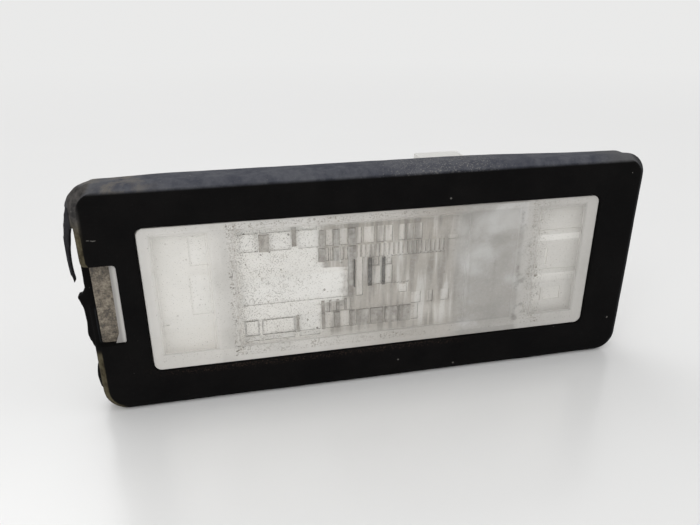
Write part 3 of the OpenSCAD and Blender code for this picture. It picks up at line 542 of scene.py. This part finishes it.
def seal_rubber():
    """Clean black rubber of the ring inside."""
    g = Graph("seal_rubber")
    grain = g.noise(0.3, 4.0, 0.7)
    colour = g.mix(g.noise(3.0), (0.010, 0.010, 0.011), (0.026, 0.025, 0.025))
    shader = g.principled(**{
        "Base Color": colour, "Roughness": 0.7, "Specular IOR Level": 0.25, "Normal": g.bump(grain, 0.02),
    })
    return g.finish(shader)


def metal(name, dark, light, roughness):
    """Sheet metal or wire with fine streaks and tarnish."""
    g = Graph(name)
    tarnish = g.noise(1.6, 5.0, 0.7)
    drawn = g.noise(0.6, 4.0, 0.6, g.stretch((1.0, 1.0, 12.0)))
    shader = g.principled(**{
        "Base Color": g.mix(tarnish, dark, light),
        "Metallic": 1.0,
        "Roughness": g.step(drawn, 0.2, 0.8, roughness - 0.1, roughness + 0.12),
        "Normal": g.bump(drawn, 0.01),
    })
    return g.finish(shader)


def glass():
    """Thin clear glass that lets light through to what is behind it."""
    g = Graph("bulb_glass")
    clear = g.principled(**{
        "Base Color": (0.98, 0.99, 1.0), "Roughness": 0.02, "IOR": 1.5,
        "Transmission Weight": 1.0, "Normal": g.bump(g.noise(2.5, 2.0), 0.04),
    })
    through = g.node("BsdfTransparent", {"Color": (0.95, 0.96, 0.97)}).outputs[0]
    return g.finish(g.blend(g.node("LightPath").outputs["Is Shadow Ray"], clear, through))


def patch_film():
    """Matte white film of the breather patch."""
    g = Graph("patch")
    weave = g.noise(0.15, 4.0, 0.7)
    colour = g.mix(weave, (0.74, 0.74, 0.73), (0.86, 0.86, 0.85))
    shader = g.principled(**{"Base Color": colour, "Roughness": 0.85, "Normal": g.bump(weave, 0.02)})
    return g.finish(shader)


def dress():
    """Gives every node the material of its slot."""
    made = {
        "frame_rubber": rubber(),
        "clear_plastic": clear_plastic(),
        "spring_steel": metal("spring_steel", (0.42, 0.43, 0.45), (0.70, 0.71, 0.73), 0.28),
        "pale_plastic": pale_plastic(),
        "seal_rubber": seal_rubber(),
        "grey_plastic": grey_plastic(),
        "contact_brass": metal("contact_brass", (0.50, 0.34, 0.12), (0.78, 0.60, 0.28), 0.34),
        "tinned_blade": metal("tinned_blade", (0.46, 0.45, 0.42), (0.72, 0.71, 0.68), 0.36),
        "bulb_glass": glass(),
        "bulb_wire": metal("bulb_wire", (0.28, 0.27, 0.26), (0.48, 0.47, 0.46), 0.4),
        "patch": patch_film(),
    }
    for part in frame["record"]["subparts"]:
        mesh = NODES[part["node"]].data
        mesh.materials.clear()
        mesh.materials.append(made[part["material_slot"]])
    return made


def object_from(name, data):
    made = bpy.data.objects.new(name, data)
    bpy.context.scene.collection.objects.link(made)
    return made


def settle(piece):
    """Applies the piece's modifiers to its mesh."""
    graph = bpy.context.evaluated_depsgraph_get()
    mesh = bpy.data.meshes.new_from_object(piece.evaluated_get(graph))
    piece.modifiers.clear()
    piece.data = mesh


def prism(name, outline, front, back):
    """Closed prism along Y, whose outline is given by x and z. All in millimetres."""
    count = len(outline)
    places = [(x * MM, y * MM, z * MM) for y in (front, back) for x, z in outline]
    faces = [tuple(range(count)), tuple(reversed(range(count, 2 * count)))]
    for first in range(count):
        after = (first + 1) % count
        faces.append((first, first + count, after + count, after))
    mesh = bpy.data.meshes.new(name)
    mesh.from_pydata(places, [], faces)
    shape = bmesh.new()
    shape.from_mesh(mesh)
    bmesh.ops.recalc_face_normals(shape, faces=shape.faces)
    shape.to_mesh(mesh)
    shape.free()
    return object_from(name, mesh)


def keep_largest(mesh):
    """Removes splinters: merges points that coincide and keeps only the largest connected part."""
    shape = bmesh.new()
    shape.from_mesh(mesh)
    bmesh.ops.remove_doubles(shape, verts=shape.verts, dist=MERGE_DISTANCE * MM)
    bmesh.ops.dissolve_degenerate(shape, edges=shape.edges, dist=MERGE_DISTANCE * MM)
    waiting = set(shape.verts)
    largest = set()
    while waiting:
        part = {waiting.pop()}
        front = list(part)
        while front:
            for edge in front.pop().link_edges:
                for vertex in edge.verts:
                    if vertex in waiting:
                        waiting.discard(vertex)
                        part.add(vertex)
                        front.append(vertex)
        if len(part) > len(largest):
            largest = part
    splinters = [vertex for vertex in shape.verts if vertex not in largest]
    bmesh.ops.delete(shape, geom=splinters, context="VERTS")
    shape.to_mesh(mesh)
    shape.free()


def smooth_between(value, low, high):
    """Smooth change from 0 to 1 as value goes from low to high."""
    t = min(max((value - low) / (high - low), 0.0), 1.0)
    return t * t * (3 - 2 * t)


def worn_frame(material):
    """The rubber frame as it has aged: soft edges, an uneven skin and a top edge that sags at its ends."""
    piece = object_from("worn_rubber_frame", NODES["rubber_frame"].data.copy())
    low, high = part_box("rubber_frame")
    filler = prism("corner_filler", CORNER_FILLER, *CORNER_FILLER_Y)
    slit = prism("tip_slit", TIP_SLIT, *TIP_SLIT_Y)
    for tool, operation in ((filler, "UNION"), (slit, "DIFFERENCE")):
        change = piece.modifiers.new(tool.name, "BOOLEAN")
        change.operation = operation
        change.object = tool
        change.solver = "EXACT"
    settle(piece)
    bpy.data.objects.remove(filler)
    bpy.data.objects.remove(slit)

    remesh = piece.modifiers.new("remesh", "REMESH")
    remesh.mode = "VOXEL"
    remesh.voxel_size = VOXEL * MM
    remesh.use_smooth_shade = True
    soften = piece.modifiers.new("soften", "SMOOTH")
    soften.factor = 0.5
    soften.iterations = 3
    settle(piece)
    keep_largest(piece.data)

    # Uneven skin and sag, held inside the CAD's box
    places = [vertex.co.copy() for vertex in piece.data.vertices]
    normals = [vertex.normal.copy() for vertex in piece.data.vertices]
    wave = WAVE * MM
    skin = SKIN * MM
    for at, normal in zip(places, normals):
        rise = noise.noise(at / (WAVE_PITCH * MM)) * wave + noise.noise(at / (SKIN_PITCH * MM)) * skin
        sag = SAG_RIGHT * smooth_between(at.x / MM, 12.0, 33.0)
        sag += SAG_LEFT * smooth_between(-at.x / MM, 25.0, 34.0)
        sag *= smooth_between(at.z / MM, 8.0, 14.0) * smooth_between(at.y / MM, -4.3, -1.0)
        at += normal * (rise - wave * 0.5)
        at.z -= sag * MM
        for axis in range(3):
            at[axis] = min(max(at[axis], low[axis]), high[axis])
    piece.data.vertices.foreach_set("co", [value for at in places for value in at])
    piece.data.update()
    piece.data.materials.clear()
    piece.data.materials.append(material)
    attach(piece, "root")
    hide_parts("rubber_frame")


def floor():
    """Wide pale floor under the lamp that meets the background far away."""
    low = CAD_BOX[0][2]
    mesh = bpy.data.meshes.new("floor")
    corners = [(x * FLOOR_REACH, y * FLOOR_REACH, low) for x, y in ((-1, -1), (1, -1), (1, 1), (-1, 1))]
    mesh.from_pydata(corners, [], [(0, 1, 2, 3)])
    g = Graph("floor")
    colour = g.mix(g.noise(60.0, 2.0), *FLOOR_COLOURS)
    matte = g.principled(**{"Base Color": colour, "Roughness": 0.24, "Specular IOR Level": 0.95})
    glow = g.node("Emission", {"Color": BACKGROUND, "Strength": 1.0}).outputs[0]
    seen = g.node("LightPath").outputs["Is Camera Ray"]
    far = g.times(g.step(g.length(g.place), *FLOOR_FADE), seen)
    mesh.materials.append(g.finish(g.blend(far, matte, glow)))
    object_from("floor", mesh)


def world():
    """Even white light from all round, and the plain background where the camera sees past the floor."""
    made = bpy.data.worlds.new("world")
    bpy.context.scene.world = made
    made.use_nodes = True
    tree = made.node_tree
    tree.nodes.clear()
    light = tree.nodes.new("ShaderNodeBackground")
    light.inputs["Color"].default_value = (*WHITE, 1.0)
    light.inputs["Strength"].default_value = WORLD_STRENGTH
    seen = tree.nodes.new("ShaderNodeBackground")
    seen.inputs["Color"].default_value = (*BACKGROUND, 1.0)
    path = tree.nodes.new("ShaderNodeLightPath")
    mixer = tree.nodes.new("ShaderNodeMixShader")
    out = tree.nodes.new("ShaderNodeOutputWorld")
    tree.links.new(path.outputs["Is Camera Ray"], mixer.inputs[0])
    tree.links.new(light.outputs[0], mixer.inputs[1])
    tree.links.new(seen.outputs[0], mixer.inputs[2])
    tree.links.new(mixer.outputs[0], out.inputs[0])


def lamp(name, place, size, level):
    """Soft square lamp aimed at the object, which adds level to a white surface that faces it."""
    place = Vector(place)
    data = bpy.data.lights.new(name, "AREA")
    data.size = size
    data.energy = level * math.pi ** 2 * place.length_squared
    made = object_from(name, data)
    made.location = place
    made.rotation_euler = (-place).to_track_quat("-Z", "Y").to_euler()


def camera():
    data = bpy.data.cameras.new("camera")
    data.sensor_width = CAMERA_SENSOR
    data.lens = CAMERA_LENS
    data.clip_start = CAMERA_NEAR
    turn = Matrix.Rotation(-CAMERA_TURN, 3, "Z")
    dip = Matrix.Rotation(math.pi / 2 - CAMERA_DIP, 3, "X")
    roll = Matrix.Rotation(CAMERA_ROLL, 3, "Z")
    made = object_from("camera", data)
    made.rotation_euler = (turn @ dip @ roll).to_euler()
    made.location = CAMERA_PLACE
    bpy.context.scene.camera = made


camera()
world()
floor()
for settings in LAMPS:
    lamp(*settings)
materials = dress()
worn_frame(materials["frame_rubber"])

bpy.context.scene.view_settings.view_transform = "Standard"
